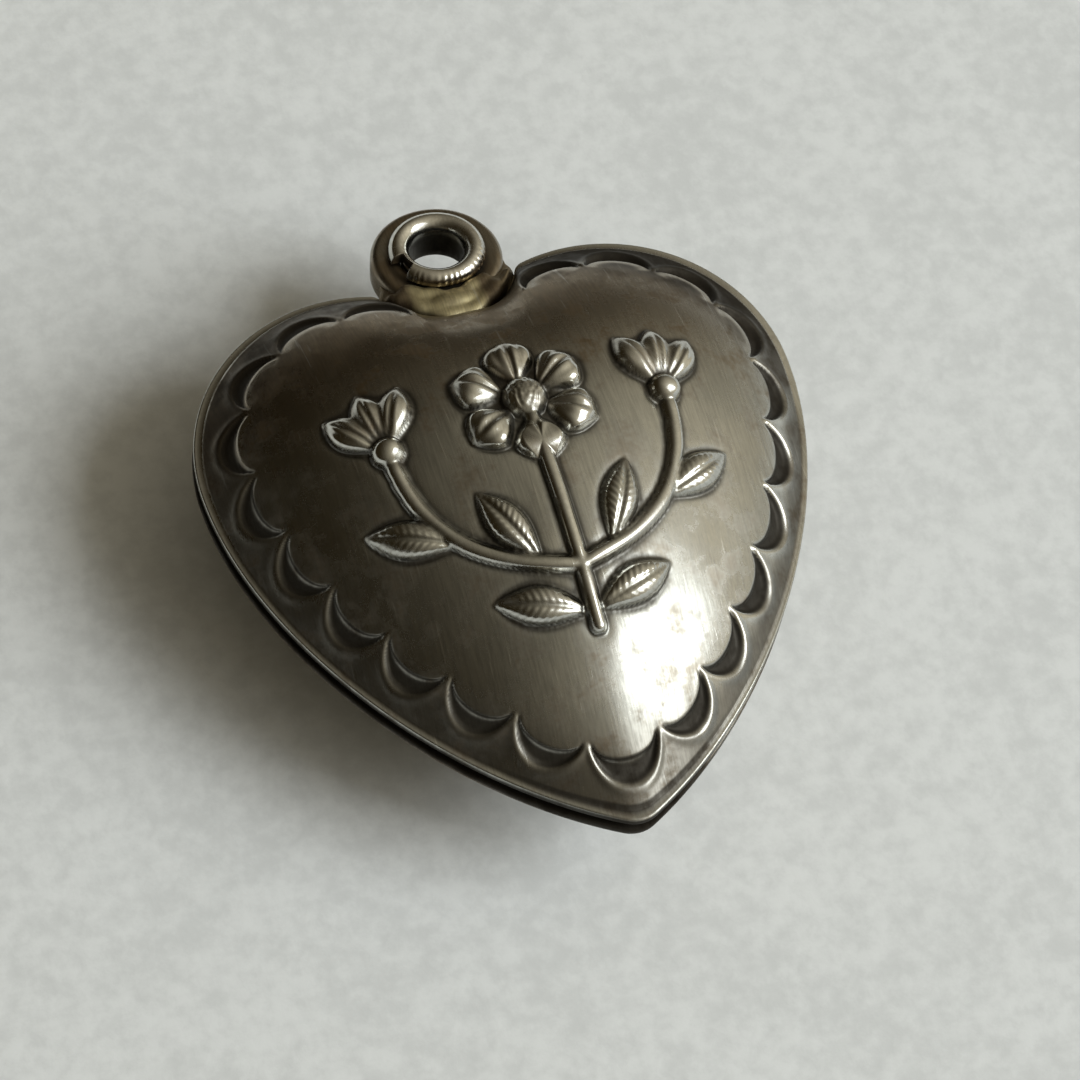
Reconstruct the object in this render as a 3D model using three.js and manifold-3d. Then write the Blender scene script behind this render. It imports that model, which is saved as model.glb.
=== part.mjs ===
// Hollow "puffy heart" charm: two stamped silver half-shells joined by a solder seam,
// with a round bail and its rolled eyelet soldered into the notch between the lobes.
// The charm lies on its back. +Z is the front, +Y points to the bail, z = 0 is the flat on the back.
import * as THREE from 'three';
import { mergeVertices } from 'three/addons/utils/BufferGeometryUtils.js';
import Module from 'manifold-3d';

const wasm = await Module();
wasm.setup();

// Heart outline at the rim, and its thickness without the relief
const heartWidth = 17.0;
const heartThickness = 7.7;
const lobeRadius = 5.0;
const lobeHeight = 3.7;
const lobeBulge = 4.5;
const tipDepth = 8.76;
const tipRadius = 0.9;
const tipAngle = THREE.MathUtils.degToRad(28);
const tipReach = 5.0;
const domeCentre = 1.0;

// Stamped shells
const frontCrown = 0.01;
const backCrown = 0.2;
const sheet = 0.42;
const lipHeight = 0.28;
const lipFlange = 0.18;
const lipWidth = 0.75;
const rimSlope = 0.77;
const notchReach = 0.5;
const notchCorner = 0.4;
const tipFade = 0.3;
const tipSpan = 0.25;
const fadePower = 1.5;

// Solder seam between the two lips
const seamHeight = 0.3;
const seamRecess = 0.24;
const seamWidth = 0.46;

// Scalloped border of the front shell
const scallopsPerSide = 10;
const scallopInset = 1.4;
const scallopEnd = THREE.MathUtils.degToRad(122);
const scallopInnerSwell = 0.43;
const scallopOuterSwell = 0.9;
const tipSwell = 1.3;
const scallopDepth = 0.4;
const cuspGap = 0.14;

// Flower sprig in relief on the front shell
const reliefHeight = 0.42;
const bloomDrop = 1.2;
const bloomPetals = 6;
const petalLength = 1.75;
const petalWidth = 1.4;
const buttonRadius = 0.62;
const stemWidth = 0.46;
const stemRise = 4.66;
const forkRise = 1.6;
const sideBow = 0.9;
const budOut = 0.4;
const budDrop = 1.6;
const budPetals = 3;
const budLength = 2.1;
const budWidth = 0.95;
const calyxRadius = 0.44;
const budFan = THREE.MathUtils.degToRad(31);
const budLean = THREE.MathUtils.degToRad(7);
const leafLength = 2.7;
const leafWidth = 1.0;
const petalFullness = 1.5;
const budFullness = 1.25;
const leafFullness = 1.1;
const footLeaf = { share: 0.1, lean: THREE.MathUtils.degToRad(69) };
const forkLeaf = { share: 0.12, lean: THREE.MathUtils.degToRad(26) };
const sideLeaf = { share: 0.45, lean: THREE.MathUtils.degToRad(62) };

// Bail: collar ring, its eyelet and the solder under its foot
const bailStand = 0.55;
const bailRadius = 1.88;
const bailLength = 1.0;
const bailRound = 0.22;
const bailLean = THREE.MathUtils.degToRad(12);
const holeRadius = 0.78;
const eyeletWall = 0.24;
const eyeletFlare = 0.16;
const flareDepth = 0.32;
const flangeRadius = 1.38;
const flangeHeight = 0.36;
const flangeGapStart = THREE.MathUtils.degToRad(184);
const flangeGapEnd = THREE.MathUtils.degToRad(214);
const eyeletFit = 0.08;
const seatClearance = 0.3;
const solderThickness = 0.55;
const solderSpread = 1.3;
const solderWrap = 0.3;
const solderDepth = 0.95;
const solderForward = 0.25;
const filletWidth = 0.45;
const filletHeight = 0.6;
const filletDrop = 1.0;
const footCut = 0.38;

// Facets along each stretch of the outline and up the domes
const facets = { tip: 2, flank: 13, lobe: 12, corner: 2, seat: 3, flat: 1 };
const frontRows = 9;
const backRows = 7;
const cavityRows = 5;
const ringFacets = 32;
const crescentFacets = 4;
const leafFacets = 10;
const leafRows = 6;

const lobeX = heartWidth / 2 - lobeRadius;
const lobeTop = lobeHeight + lobeRadius;
const bloomPlace = lobeHeight - bloomDrop;
const stemFoot = stemRise - tipDepth;
const sideFork = stemFoot + forkRise;
const bailPlace = lobeTop + bailStand;
const footPlane = bailPlace - bailRadius + footCut;
const notchPlane = footPlane - solderThickness;
const seatRadius = bailRadius + seatClearance;
const backLip = (heartThickness - seamHeight) / 2;
const backRise = backLip + backCrown;
const frontRise = backLip + frontCrown;
const frontLip = backLip + seamHeight;
const seamMiddle = backLip + seamHeight / 2;
const heartReach = heartWidth / 2;
const seamEdge = 1 - seamRecess / heartReach;
const cutHeight = frontRise + lipHeight;

// A manifold solid from a closed geometry, and back to a geometry.
function solid(geometry) {
  const bare = geometry.clone();
  for (const name of Object.keys(bare.attributes)) {
    if (name !== 'position') bare.deleteAttribute(name);
  }
  const merged = mergeVertices(bare, 1e-5);
  const vertProperties = new Float32Array(merged.attributes.position.array);
  const triVerts = new Uint32Array(merged.index.array);
  return new wasm.Manifold(new wasm.Mesh({ numProp: 3, vertProperties, triVerts }));
}

function geometryOf(manifold) {
  const mesh = manifold.getMesh();
  const geometry = new THREE.BufferGeometry();
  geometry.setAttribute('position', new THREE.BufferAttribute(mesh.vertProperties, 3));
  geometry.setIndex(new THREE.BufferAttribute(mesh.triVerts, 1));
  geometry.computeVertexNormals();
  return geometry;
}

// The meeting point with the larger y of two circles.
function circlesMeet(a, ra, b, rb) {
  const span = b.clone().sub(a);
  const distance = span.length();
  const along = (ra * ra - rb * rb + distance * distance) / (2 * distance);
  const across = Math.sqrt(ra * ra - along * along);
  const unit = span.divideScalar(distance);
  const side = new THREE.Vector2(-unit.y, unit.x);
  if (side.y < 0) side.negate();
  return a.clone().addScaledVector(unit, along).addScaledVector(side, across);
}

// Tip, flank and lobe of the right half, drawn in from the rim by an inset.
function flankCurves(inset, lobeEnd) {
  const radius = Math.max(tipRadius - inset, 0);
  const tipRise = tipRadius - radius + (inset - (tipRadius - radius)) / Math.cos(tipAngle);
  const tipY = -tipDepth + tipRise;
  const tipEnd = tipAngle - Math.PI / 2;
  const start = new THREE.Vector2(radius * Math.cos(tipEnd), tipY + radius + radius * Math.sin(tipEnd));
  const side = lobeX + lobeRadius - inset;
  const reach = tipReach * (lobeRadius - inset) / lobeRadius;
  const flank = new THREE.CubicBezierCurve(
    start,
    start.clone().add(new THREE.Vector2(reach * Math.cos(tipAngle), reach * Math.sin(tipAngle))),
    new THREE.Vector2(side, lobeHeight - lobeBulge),
    new THREE.Vector2(side, lobeHeight),
  );
  const lobe = new THREE.EllipseCurve(
    lobeX, lobeHeight, lobeRadius - inset, lobeRadius - inset, 0, lobeEnd);
  const tip = new THREE.EllipseCurve(0, tipY + radius, radius, radius, -Math.PI / 2, tipEnd);
  return { tip, flank, lobe };
}

function angleOf(point, x, y) {
  return Math.atan2(point.y - y, point.x - x);
}

// The closed rim outline: right half from the tip to the notch, then its mirror image.
function rimOutline() {
  const lobeCentre = new THREE.Vector2(lobeX, lobeHeight);
  const ring = new THREE.Vector2(0, bailPlace);
  const corner = circlesMeet(lobeCentre, lobeRadius - notchCorner, ring, seatRadius + notchCorner);
  const lobeEnd = angleOf(corner, lobeX, lobeHeight);
  const { tip, flank, lobe } = flankCurves(0, lobeEnd);
  const seatFlat = Math.sqrt(seatRadius ** 2 - (bailPlace - notchPlane) ** 2);
  const seatEnd = Math.atan2(notchPlane - bailPlace, seatFlat);
  const seatStart = angleOf(corner, 0, bailPlace);
  const turn = angleOf(ring, corner.x, corner.y);
  const round = new THREE.EllipseCurve(corner.x, corner.y, notchCorner, notchCorner, lobeEnd, turn);
  const seat = new THREE.EllipseCurve(0, bailPlace, seatRadius, seatRadius, seatStart, seatEnd, true);
  const flat = new THREE.LineCurve(
    new THREE.Vector2(seatFlat, notchPlane), new THREE.Vector2(0, notchPlane));
  const half = [
    ...tip.getPoints(facets.tip), ...flank.getPoints(facets.flank).slice(1),
    ...lobe.getPoints(facets.lobe).slice(1), ...round.getPoints(facets.corner).slice(1),
    ...seat.getPoints(facets.seat).slice(1), ...flat.getPoints(facets.flat).slice(1),
  ];
  const mirrored = half.slice(1, -1).reverse().map((p) => new THREE.Vector2(-p.x, p.y));
  return [...half, ...mirrored];
}

const outline = rimOutline();

const rimFlank = flankCurves(0, 0).flank;
const tipEdge = rimFlank.getPoint(tipSpan);
const tipSlope = rimFlank.getTangent(tipSpan);

// A round curve across the tip that leaves the flanks smoothly at a part of their length.
function roundTip(x) {
  return tipEdge.y - tipSlope.y / tipSlope.x * (tipEdge.x ** 2 - x ** 2) / (2 * tipEdge.x);
}

// How far a notch or point is filled where the outline is drawn in to a share of its size.
function filling(share, reach) {
  return 1 - Math.max(1 - (1 - share) / reach, 0) ** fadePower;
}

// The outline drawn in to a share of its size; the notch and the tip fade out towards the middle.
function heartRing(share) {
  return outline.map((p) => {
    const inNotch = p.y > lobeHeight && Math.abs(p.x) < lobeX;
    const inTip = p.y < tipEdge.y && Math.abs(p.x) < tipEdge.x;
    let fill = 0;
    if (inNotch) fill = (lobeTop - p.y) * filling(share, notchReach);
    if (inTip) fill = (roundTip(p.x) - p.y) * filling(share, tipFade);
    return new THREE.Vector2(share * p.x, domeCentre + share * (p.y - domeCentre + fill));
  });
}

// Height of a stamped dome, from 0 at its edge to 1 in the middle: a flattened arc.
function domeShape(share) {
  const low = Math.sqrt(1 - rimSlope ** 2);
  return (Math.sqrt(Math.max(1 - (rimSlope * share) ** 2, 0)) - low) / (1 - low);
}

// A closed body through heart-shaped rows of [share of the outline, height], bottom to top.
function heartBody(rows) {
  const count = outline.length;
  const points = [];
  const faces = [];
  for (const [share, height] of rows) {
    for (const p of heartRing(share)) points.push(p.x, p.y, height);
  }
  const bottom = rows.length * count;
  const top = bottom + 1;
  const last = bottom - count;
  points.push(0, domeCentre, rows[0][1]);
  points.push(0, domeCentre, rows[rows.length - 1][1]);
  for (let i = 0; i < count; i += 1) {
    const next = (i + 1) % count;
    faces.push(bottom, next, i);
    faces.push(top, last + i, last + next);
    for (let row = 0; row < rows.length - 1; row += 1) {
      const low = row * count;
      const high = low + count;
      faces.push(low + i, low + next, high + next);
      faces.push(low + i, high + next, high + i);
    }
  }
  const geometry = new THREE.BufferGeometry();
  geometry.setAttribute('position', new THREE.Float32BufferAttribute(points, 3));
  geometry.setIndex(faces);
  return geometry;
}

// Share of the outline at which a dome has risen to a part of its full height.
function domeShare(level) {
  const low = Math.sqrt(1 - rimSlope ** 2);
  return Math.sqrt(1 - (low + level * (1 - low)) ** 2) / rimSlope;
}

// Rows of a dome that stands on its lip: edge, flange and the swelling up to a flat crown.
function domeRows(rise, crown, rows, lowered = 0) {
  const edge = 1 - lipFlange / heartReach;
  const swelling = rise - lipHeight;
  const crownShare = domeShare(1 - crown / swelling);
  const heights = [[1, -lowered], [1, lipHeight - lowered]];
  for (let row = 0; row <= rows; row += 1) {
    const share = 1 + (crownShare - 1) * row / rows;
    heights.push([edge * share, lipHeight - lowered + swelling * domeShape(share)]);
  }
  return heights;
}

// Rows of the hollow inside a dome, open at the lip and starting a little below it.
function hollowRows(rise, crown) {
  const edge = 1 - lipWidth / heartReach;
  const swelling = rise - sheet;
  const crownShare = domeShare(1 - crown / swelling);
  const heights = [[edge, -sheet]];
  for (let row = 0; row <= cavityRows; row += 1) {
    const share = 1 + (crownShare - 1) * row / cavityRows;
    heights.push([edge * share, swelling * domeShape(share)]);
  }
  return heights;
}

const frontDome = domeRows(frontRise, frontCrown, frontRows);
const backDome = domeRows(backRise, backCrown, backRows);

// Height of the front dome over a point, found by drawing the outline in until it meets the point.
function frontHeight(x, y) {
  let inside = 0;
  let outside = 1;
  for (let step = 0; step < 24; step += 1) {
    const share = (inside + outside) / 2;
    if (holdsPoint(heartRing(share), x, y)) outside = share;
    else inside = share;
  }
  const edge = 1 - lipFlange / heartReach;
  return lipHeight + (frontRise - lipHeight) * domeShape(Math.min(outside / edge, 1));
}

function holdsPoint(ring, x, y) {
  let inside = false;
  for (let i = 0, j = ring.length - 1; i < ring.length; j = i, i += 1) {
    const a = ring[i];
    const b = ring[j];
    const crosses = (a.y > y) !== (b.y > y);
    if (crosses && x < (b.x - a.x) * (y - a.y) / (b.y - a.y) + a.x) inside = !inside;
  }
  return inside;
}

// A frame on the front dome: local X runs along a heading, local Z stands off the metal.
function onDome(x, y, heading) {
  const step = 0.2;
  const slopeX = (frontHeight(x + step, y) - frontHeight(x - step, y)) / (2 * step);
  const slopeY = (frontHeight(x, y + step) - frontHeight(x, y - step)) / (2 * step);
  const normal = new THREE.Vector3(-slopeX, -slopeY, 1).normalize();
  const along = new THREE.Vector3(Math.cos(heading), Math.sin(heading), 0);
  along.addScaledVector(normal, -along.dot(normal)).normalize();
  const across = normal.clone().cross(along);
  const frame = new THREE.Matrix4().makeBasis(along, across, normal);
  return frame.setPosition(x, y, frontHeight(x, y));
}

// A swelling leaf or petal from its root; fullness moves its widest place to the free end.
function leaf(x, y, heading, length, width, fullness) {
  const profile = [];
  for (let i = 0; i <= leafRows; i += 1) {
    const t = i / leafRows;
    const swell = Math.sin(Math.PI * t ** fullness);
    const radius = i === 0 || i === leafRows ? 0 : width / 2 * swell;
    profile.push(new THREE.Vector2(radius, (t - 0.5) * length));
  }
  const geometry = new THREE.LatheGeometry(profile, leafFacets);
  geometry.rotateZ(-Math.PI / 2);
  geometry.scale(1, 1, 2 * reliefHeight / width);
  const middleX = x + length / 2 * Math.cos(heading);
  const middleY = y + length / 2 * Math.sin(heading);
  return solid(geometry.applyMatrix4(onDome(middleX, middleY, heading)));
}

// A round stem lying half sunk in the dome along a curve in plan.
function stem(plan) {
  const path = new THREE.CatmullRomCurve3(
    plan.getPoints(6).map((p) => new THREE.Vector3(p.x, p.y, frontHeight(p.x, p.y))));
  const section = new THREE.Shape().absarc(0, 0, stemWidth / 2, 0, 2 * Math.PI);
  return solid(new THREE.ExtrudeGeometry(
    section, { extrudePath: path, steps: 10, curveSegments: 3, bevelEnabled: false }));
}

// A round bead half sunk in the dome.
function bead(x, y, radius) {
  const ball = new THREE.SphereGeometry(radius, 12, 8).rotateX(Math.PI / 2);
  return solid(ball.applyMatrix4(onDome(x, y, 0)));
}

// The flower sprig: a full bloom on the middle stem, two side buds, and leaves along the stems.
function sprig() {
  const upright = Math.PI / 2;
  const point = (x, y) => new THREE.Vector2(x, y);
  const middleStem = new THREE.QuadraticBezierCurve(
    point(0, stemFoot), point(0, sideFork), point(0, bloomPlace - buttonRadius));
  const bodies = [bead(0, bloomPlace, buttonRadius), stem(middleStem)];
  for (let i = 0; i < bloomPetals; i += 1) {
    const heading = upright + i * 2 * Math.PI / bloomPetals;
    const x = buttonRadius / 2 * Math.cos(heading);
    const y = bloomPlace + buttonRadius / 2 * Math.sin(heading);
    bodies.push(leaf(x, y, heading, petalLength, petalWidth, petalFullness));
  }
  for (const side of [-1, 1]) {
    const bud = point(side * (lobeX + budOut), lobeHeight - budDrop);
    const sideStem = new THREE.QuadraticBezierCurve(
      point(0, sideFork), point(bud.x, sideFork + sideBow), bud);
    bodies.push(stem(sideStem), bead(bud.x, bud.y, calyxRadius));
    for (let i = 0; i < budPetals; i += 1) {
      const fan = (i - (budPetals - 1) / 2) * budFan;
      bodies.push(leaf(bud.x, bud.y, upright - side * (budLean + fan), budLength, budWidth, budFullness));
    }
    for (const [stalk, { share, lean }] of [
      [middleStem, footLeaf], [sideStem, forkLeaf], [sideStem, sideLeaf]]) {
      const root = stalk.getPoint(share);
      bodies.push(leaf(root.x, root.y, upright - side * lean, leafLength, leafWidth, leafFullness));
    }
  }
  return wasm.Manifold.union(bodies);
}

// One crescent of the border in plan, between two cusps: a small swelling inside a larger one.
function crescent(a, b, swell) {
  const chord = b.clone().sub(a);
  const half = (chord.length() - cuspGap) / 2;
  const middle = a.clone().addScaledVector(chord, 0.5);
  const turn = Math.atan2(chord.y, chord.x);
  const shape = new THREE.Shape();
  const outer = swell * scallopOuterSwell;
  const inner = swell * scallopInnerSwell;
  shape.absellipse(middle.x, middle.y, half, outer, Math.PI, 2 * Math.PI, false, turn);
  shape.absellipse(middle.x, middle.y, half, inner, 2 * Math.PI, Math.PI, true, turn);
  return shape;
}

// The chain of crescents round the heart: a fuller one at the tip and the same number up each side.
function scallops() {
  const { tip, flank, lobe } = flankCurves(scallopInset, scallopEnd);
  const half = new THREE.CurvePath();
  half.curves.push(flank, lobe);
  if (scallopInset < tipRadius) half.curves.unshift(tip);
  const share = 2 / (2 * scallopsPerSide + 1);
  const cusps = [];
  for (let i = 0; i <= scallopsPerSide; i += 1) {
    cusps.push(half.getPointAt(Math.min((i + 0.5) * share, 1)));
  }
  const mirror = (p) => new THREE.Vector2(-p.x, p.y);
  const shapes = [crescent(mirror(cusps[0]), cusps[0], tipSwell)];
  for (let i = 0; i < scallopsPerSide; i += 1) {
    shapes.push(crescent(cusps[i], cusps[i + 1], 1));
    shapes.push(crescent(mirror(cusps[i + 1]), mirror(cusps[i]), 1));
  }
  const cuts = shapes.map((shape) => {
    const prism = new THREE.ExtrudeGeometry(
      shape, { depth: cutHeight, bevelEnabled: false, curveSegments: crescentFacets });
    return solid(prism);
  });
  const floor = domeRows(frontRise, frontCrown, frontRows, scallopDepth);
  floor[0][1] = -cutHeight;
  return wasm.Manifold.union(cuts).subtract(solid(heartBody(floor)));
}

function frontShell() {
  const dome = solid(heartBody(frontDome));
  const stamped = dome.subtract(scallops()).add(sprig());
  const shell = stamped.subtract(solid(heartBody(hollowRows(frontRise, frontCrown))));
  return geometryOf(shell).translate(0, 0, frontLip);
}

// A body turned over from front to back, with its faces still pointing out.
function turnedOver(geometry) {
  geometry.scale(1, 1, -1);
  return geometry.setIndex([...geometry.index.array].reverse());
}

// The plain back: the same dome turned over, with a flat crown to lie on.
function backShell() {
  const dome = solid(heartBody(backDome));
  const shell = dome.subtract(solid(heartBody(hollowRows(backRise, backCrown))));
  return turnedOver(geometryOf(shell)).translate(0, 0, backLip);
}

// A heart-shaped plate between the two lips, set back from the rim.
function seamPlate(openings = []) {
  const plate = new THREE.Shape(heartRing(seamEdge));
  plate.holes.push(...openings);
  const geometry = new THREE.ExtrudeGeometry(plate, { depth: seamHeight, bevelEnabled: false });
  return geometry.translate(0, 0, backLip);
}

// Solder run round the seam: that plate, open inside.
function seamRing() {
  return seamPlate([new THREE.Path(heartRing(seamEdge - seamWidth / heartReach))]);
}

// Places a ring made round the Z axis at the bail, leaning back from the seam plane.
function leaning(geometry) {
  geometry.rotateX(-bailLean);
  return geometry.translate(0, bailPlace, seamMiddle);
}

// A ring turned round the Z axis from a closed section of [radius, height].
function turned(section) {
  const profile = section.map(([radius, height]) => new THREE.Vector2(radius, height));
  profile.push(profile[0].clone());
  return new THREE.LatheGeometry(profile, ringFacets).rotateX(Math.PI / 2);
}

function quarter(radius, height, round, from, to, steps) {
  const curve = new THREE.EllipseCurve(radius, height, round, round, from, to);
  return curve.getPoints(steps).map((p) => [p.x, p.y]);
}

// The heavy outer ring, round on its outside and filed flat where it stands on the solder.
function bailCollar() {
  const bore = holeRadius + eyeletWall + eyeletFit;
  const end = bailLength / 2;
  const side = bailRadius - bailRound;
  const section = [
    [bore, -end],
    ...quarter(side, bailRound - end, bailRound, -Math.PI / 2, 0, 4),
    ...quarter(side, end - bailRound, bailRound, 0, Math.PI / 2, 4),
    [bore, end],
  ];
  const block = new THREE.BoxGeometry(4 * bailRadius, 2 * bailRadius, 6 * bailLength);
  block.translate(0, footPlane - bailRadius, seamMiddle);
  const ring = solid(leaning(turned(section))).subtract(solid(block));
  return geometryOf(ring);
}

// The rolled eyelet that lines the collar; its front flange is open over a short arc on the left.
function bailEyelet() {
  const tube = holeRadius + eyeletWall;
  const end = bailLength / 2;
  const seat = end + eyeletFit;
  const bead = (flangeRadius - holeRadius) / 2;
  const front = new THREE.EllipseCurve(holeRadius + bead, seat, bead, flangeHeight, 0, Math.PI);
  const flare = new THREE.EllipseCurve(
    holeRadius + eyeletFlare, flareDepth - end, eyeletFlare, flareDepth, Math.PI, 1.5 * Math.PI);
  const section = [
    [tube, -end], [tube, seat],
    ...front.getPoints(7).map((p) => [p.x, p.y]),
    ...flare.getPoints(3).map((p) => [p.x, p.y]),
  ];
  const gap = new THREE.Shape();
  gap.absarc(0, 0, 2 * flangeRadius, flangeGapStart, flangeGapEnd);
  gap.absarc(0, 0, tube, flangeGapEnd, flangeGapStart, true);
  const wedge = new THREE.ExtrudeGeometry(
    gap, { depth: 2 * flangeHeight, bevelEnabled: false, curveSegments: 4 });
  wedge.translate(0, 0, seat - flangeHeight / 2);
  return leaning(geometryOf(solid(turned(section)).subtract(solid(wedge))));
}

// Solder saddle under the foot of the collar, with a fillet up each side of the notch.
function bailSolder(neighbours) {
  const reach = solderThickness / 2 + solderWrap;
  const blob = new THREE.SphereGeometry(1, 24, 16).scale(solderSpread, reach, solderDepth);
  blob.translate(0, (notchPlane + footPlane) / 2, seamMiddle + solderForward);
  const middle = bailRadius + seatClearance / 2;
  const bend = new THREE.EllipseCurve(middle, 0, filletWidth, filletHeight);
  const ring = leaning(turned(bend.getPoints(10).slice(1).map((p) => [p.x, p.y])));
  const fillet = solid(ring).trimByPlane([0, -1, 0], filletDrop - bailPlace);
  const front = heartBody(frontDome).translate(0, 0, frontLip);
  const back = turnedOver(heartBody(backDome)).translate(0, 0, backLip);
  const taken = wasm.Manifold.union([front, back, seamPlate(), ...neighbours].map(solid));
  return geometryOf(solid(blob).add(fillet).subtract(taken));
}

function piece(name, geometry, color, roughness) {
  const material = new THREE.MeshStandardMaterial({ color, roughness, metalness: 1 });
  const mesh = new THREE.Mesh(geometry, material);
  mesh.name = name;
  return mesh;
}

const collar = bailCollar();
const eyelet = bailEyelet();

const charm = new THREE.Group();
charm.add(
  piece('front_shell', frontShell(), 0x8f8a82, 0.34),
  piece('back_shell', backShell(), 0x87827a, 0.4),
  piece('seam_solder', seamRing(), 0x3b3631, 0.6),
  piece('bail_collar', collar, 0x7d776e, 0.36),
  piece('bail_eyelet', eyelet, 0x9a948a, 0.3),
  piece('bail_solder', bailSolder([collar, eyelet]), 0x9d8f63, 0.42),
);

export default charm;
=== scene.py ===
"""A hollow silver heart charm: two stamped shells, a solder seam and a ring bail.

The front shell carries a scalloped border and a flower sprig in relief. Lengths are in metres
in the frame of the CAD model: +Z out of the front, +Y from the tip to the bail, z = 0 on the table.
"""
from math import atan2, cos, pi, radians, sin, sqrt

import bmesh
import bpy
import numpy as np
from mathutils import Matrix, Vector


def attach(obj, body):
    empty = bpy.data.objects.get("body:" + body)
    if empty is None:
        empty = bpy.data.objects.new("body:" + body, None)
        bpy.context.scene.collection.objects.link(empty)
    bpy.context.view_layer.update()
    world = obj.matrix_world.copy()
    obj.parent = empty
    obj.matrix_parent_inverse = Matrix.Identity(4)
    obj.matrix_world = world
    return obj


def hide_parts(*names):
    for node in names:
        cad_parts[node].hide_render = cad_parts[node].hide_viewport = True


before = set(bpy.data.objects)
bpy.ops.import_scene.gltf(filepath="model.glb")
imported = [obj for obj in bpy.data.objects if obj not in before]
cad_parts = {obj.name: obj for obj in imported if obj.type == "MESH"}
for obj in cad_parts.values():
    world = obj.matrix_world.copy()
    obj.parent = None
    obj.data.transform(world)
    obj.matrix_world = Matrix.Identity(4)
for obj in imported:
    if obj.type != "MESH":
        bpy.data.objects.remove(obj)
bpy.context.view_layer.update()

FLANK_STEPS = 200       # steps along the flank of the outline
BEVEL_ROWS = 4          # rows of points in each rounded edge of a lip
LEDGE_ROWS = 2          # rows of the ledge beside a lip that share its wear
UPRIGHT = pi / 2        # heading of +Y, and a quarter turn

bl_info = {
    "name": "Puffy Heart Charm",
    "version": (1, 0, 0),
    "blender": (4, 5, 0),
    "location": "3D View > Sidebar > Charm",
    "description": "Builds a tarnished silver heart charm with a scalloped border and a ring bail",
    "category": "Object",
}


def size(name, description, millimetres):
    """A length, kept in metres."""
    return bpy.props.FloatProperty(
        name=name, description=description, default=millimetres / 1000, unit="LENGTH", precision=5)


def part(name, description, default):
    return bpy.props.FloatProperty(
        name=name, description=description, default=default, min=0, max=1, subtype="FACTOR")


def angle(name, description, degrees):
    return bpy.props.FloatProperty(
        name=name, description=description, default=radians(degrees), subtype="ANGLE")


def number(name, description, default):
    return bpy.props.IntProperty(name=name, description=description, default=default, min=1)


def amount(name, description, default):
    return bpy.props.FloatProperty(name=name, description=description, default=default, min=0)


def colour(name, description, default):
    return bpy.props.FloatVectorProperty(
        name=name, description=description, default=default, size=3, min=0, max=1, subtype="COLOR")


class HeartSizes(bpy.types.PropertyGroup):
    """Outline, domes and seam of the heart"""
    width: size("Width", "Width of the heart at its rim", 17)
    thickness: size("Thickness", "Front crown to back crown, without the relief", 7.7)
    lobe_radius: size("Lobe radius", "Radius of each upper lobe", 5)
    lobe_height: size("Lobe height", "Height of the lobe centres over the heart's origin", 3.7)
    lobe_bulge: size("Lobe bulge", "Pull of the widest place on the flank below it", 4.5)
    tip_depth: size("Tip depth", "Distance of the tip below the origin", 8.76)
    tip_radius: size("Tip radius", "Rounding of the tip", 0.9)
    tip_angle: angle("Tip angle", "Slope of the flank where it leaves the tip", 28)
    tip_reach: size("Tip reach", "Pull of the tip on the flank above it", 5)
    dome_centre: size("Dome centre", "Height of the crown of the domes in plan", 1)
    front_crown: size("Front crown", "Height cut from the front dome by its flat crown", 0.01)
    back_crown: size("Back crown", "Height cut from the back dome by its flat crown", 0.2)
    sheet: size("Sheet", "Thickness of the stamped metal at the crowns", 0.42)
    lip_height: size("Lip height", "Height of the upright lip of each shell", 0.28)
    lip_flange: size("Lip flange", "Width of the ledge between lip and dome", 0.18)
    lip_width: size("Lip width", "Width of the lip's face at the seam", 0.75)
    lip_round: size("Lip rounding", "Rounding of the lip's edges", 0.06)
    rim_slope: part("Rim slope", "Steepness of the domes at the rim", 0.77)
    notch_reach: part("Notch reach", "How far the notch runs into the domes", 0.5)
    notch_corner: size("Notch corner", "Rounding of the lobes at the notch", 0.4)
    tip_fade: part("Tip fade", "How far the point of the tip runs into the domes", 0.3)
    tip_span: part("Tip span", "Part of the flank that is rounded off above the tip", 0.25)
    seam_height: size("Seam height", "Gap between the two lips", 0.3)
    seam_recess: size("Seam recess", "Depth of the seam behind the rim", 0.24)
    seam_width: size("Seam width", "Width of the solder run in the seam", 0.46)
    waviness: size("Waviness", "Height of the dents that wear has left in the metal", 0.016)
    around: number("Points around", "Points round the heart in the front shell", 1100)


class BorderSizes(bpy.types.PropertyGroup):
    """Scalloped border of the front shell"""
    per_side: number("Scallops per side", "Scallops on each side of the tip scallop", 10)
    inset: size("Inset", "Distance of the cusps from the rim", 1.4)
    end: angle("End", "Angle round the lobe at which the border ends", 122)
    inner_swell: size("Inner swell", "Bulge of the inner edge of each crescent", 0.43)
    outer_swell: size("Outer swell", "Bulge of the outer edge of each crescent", 0.9)
    inner_width: part("Inner width", "Width of the inner edge against the outer edge", 0.96)
    tip_width: part("Tip width", "Half the width of the scallop at the tip, in scallops", 0.59)
    tip_swell: amount("Tip swell", "Bulge of the scallop at the tip against the others", 1.4)
    depth: size("Depth", "Depth of the crescents", 0.13)
    cusp_gap: size("Cusp gap", "Gap between two crescents at a cusp", 0.14)
    ridge: size("Ridge", "Height of the raised line along the outer edges", 0.05)


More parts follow.
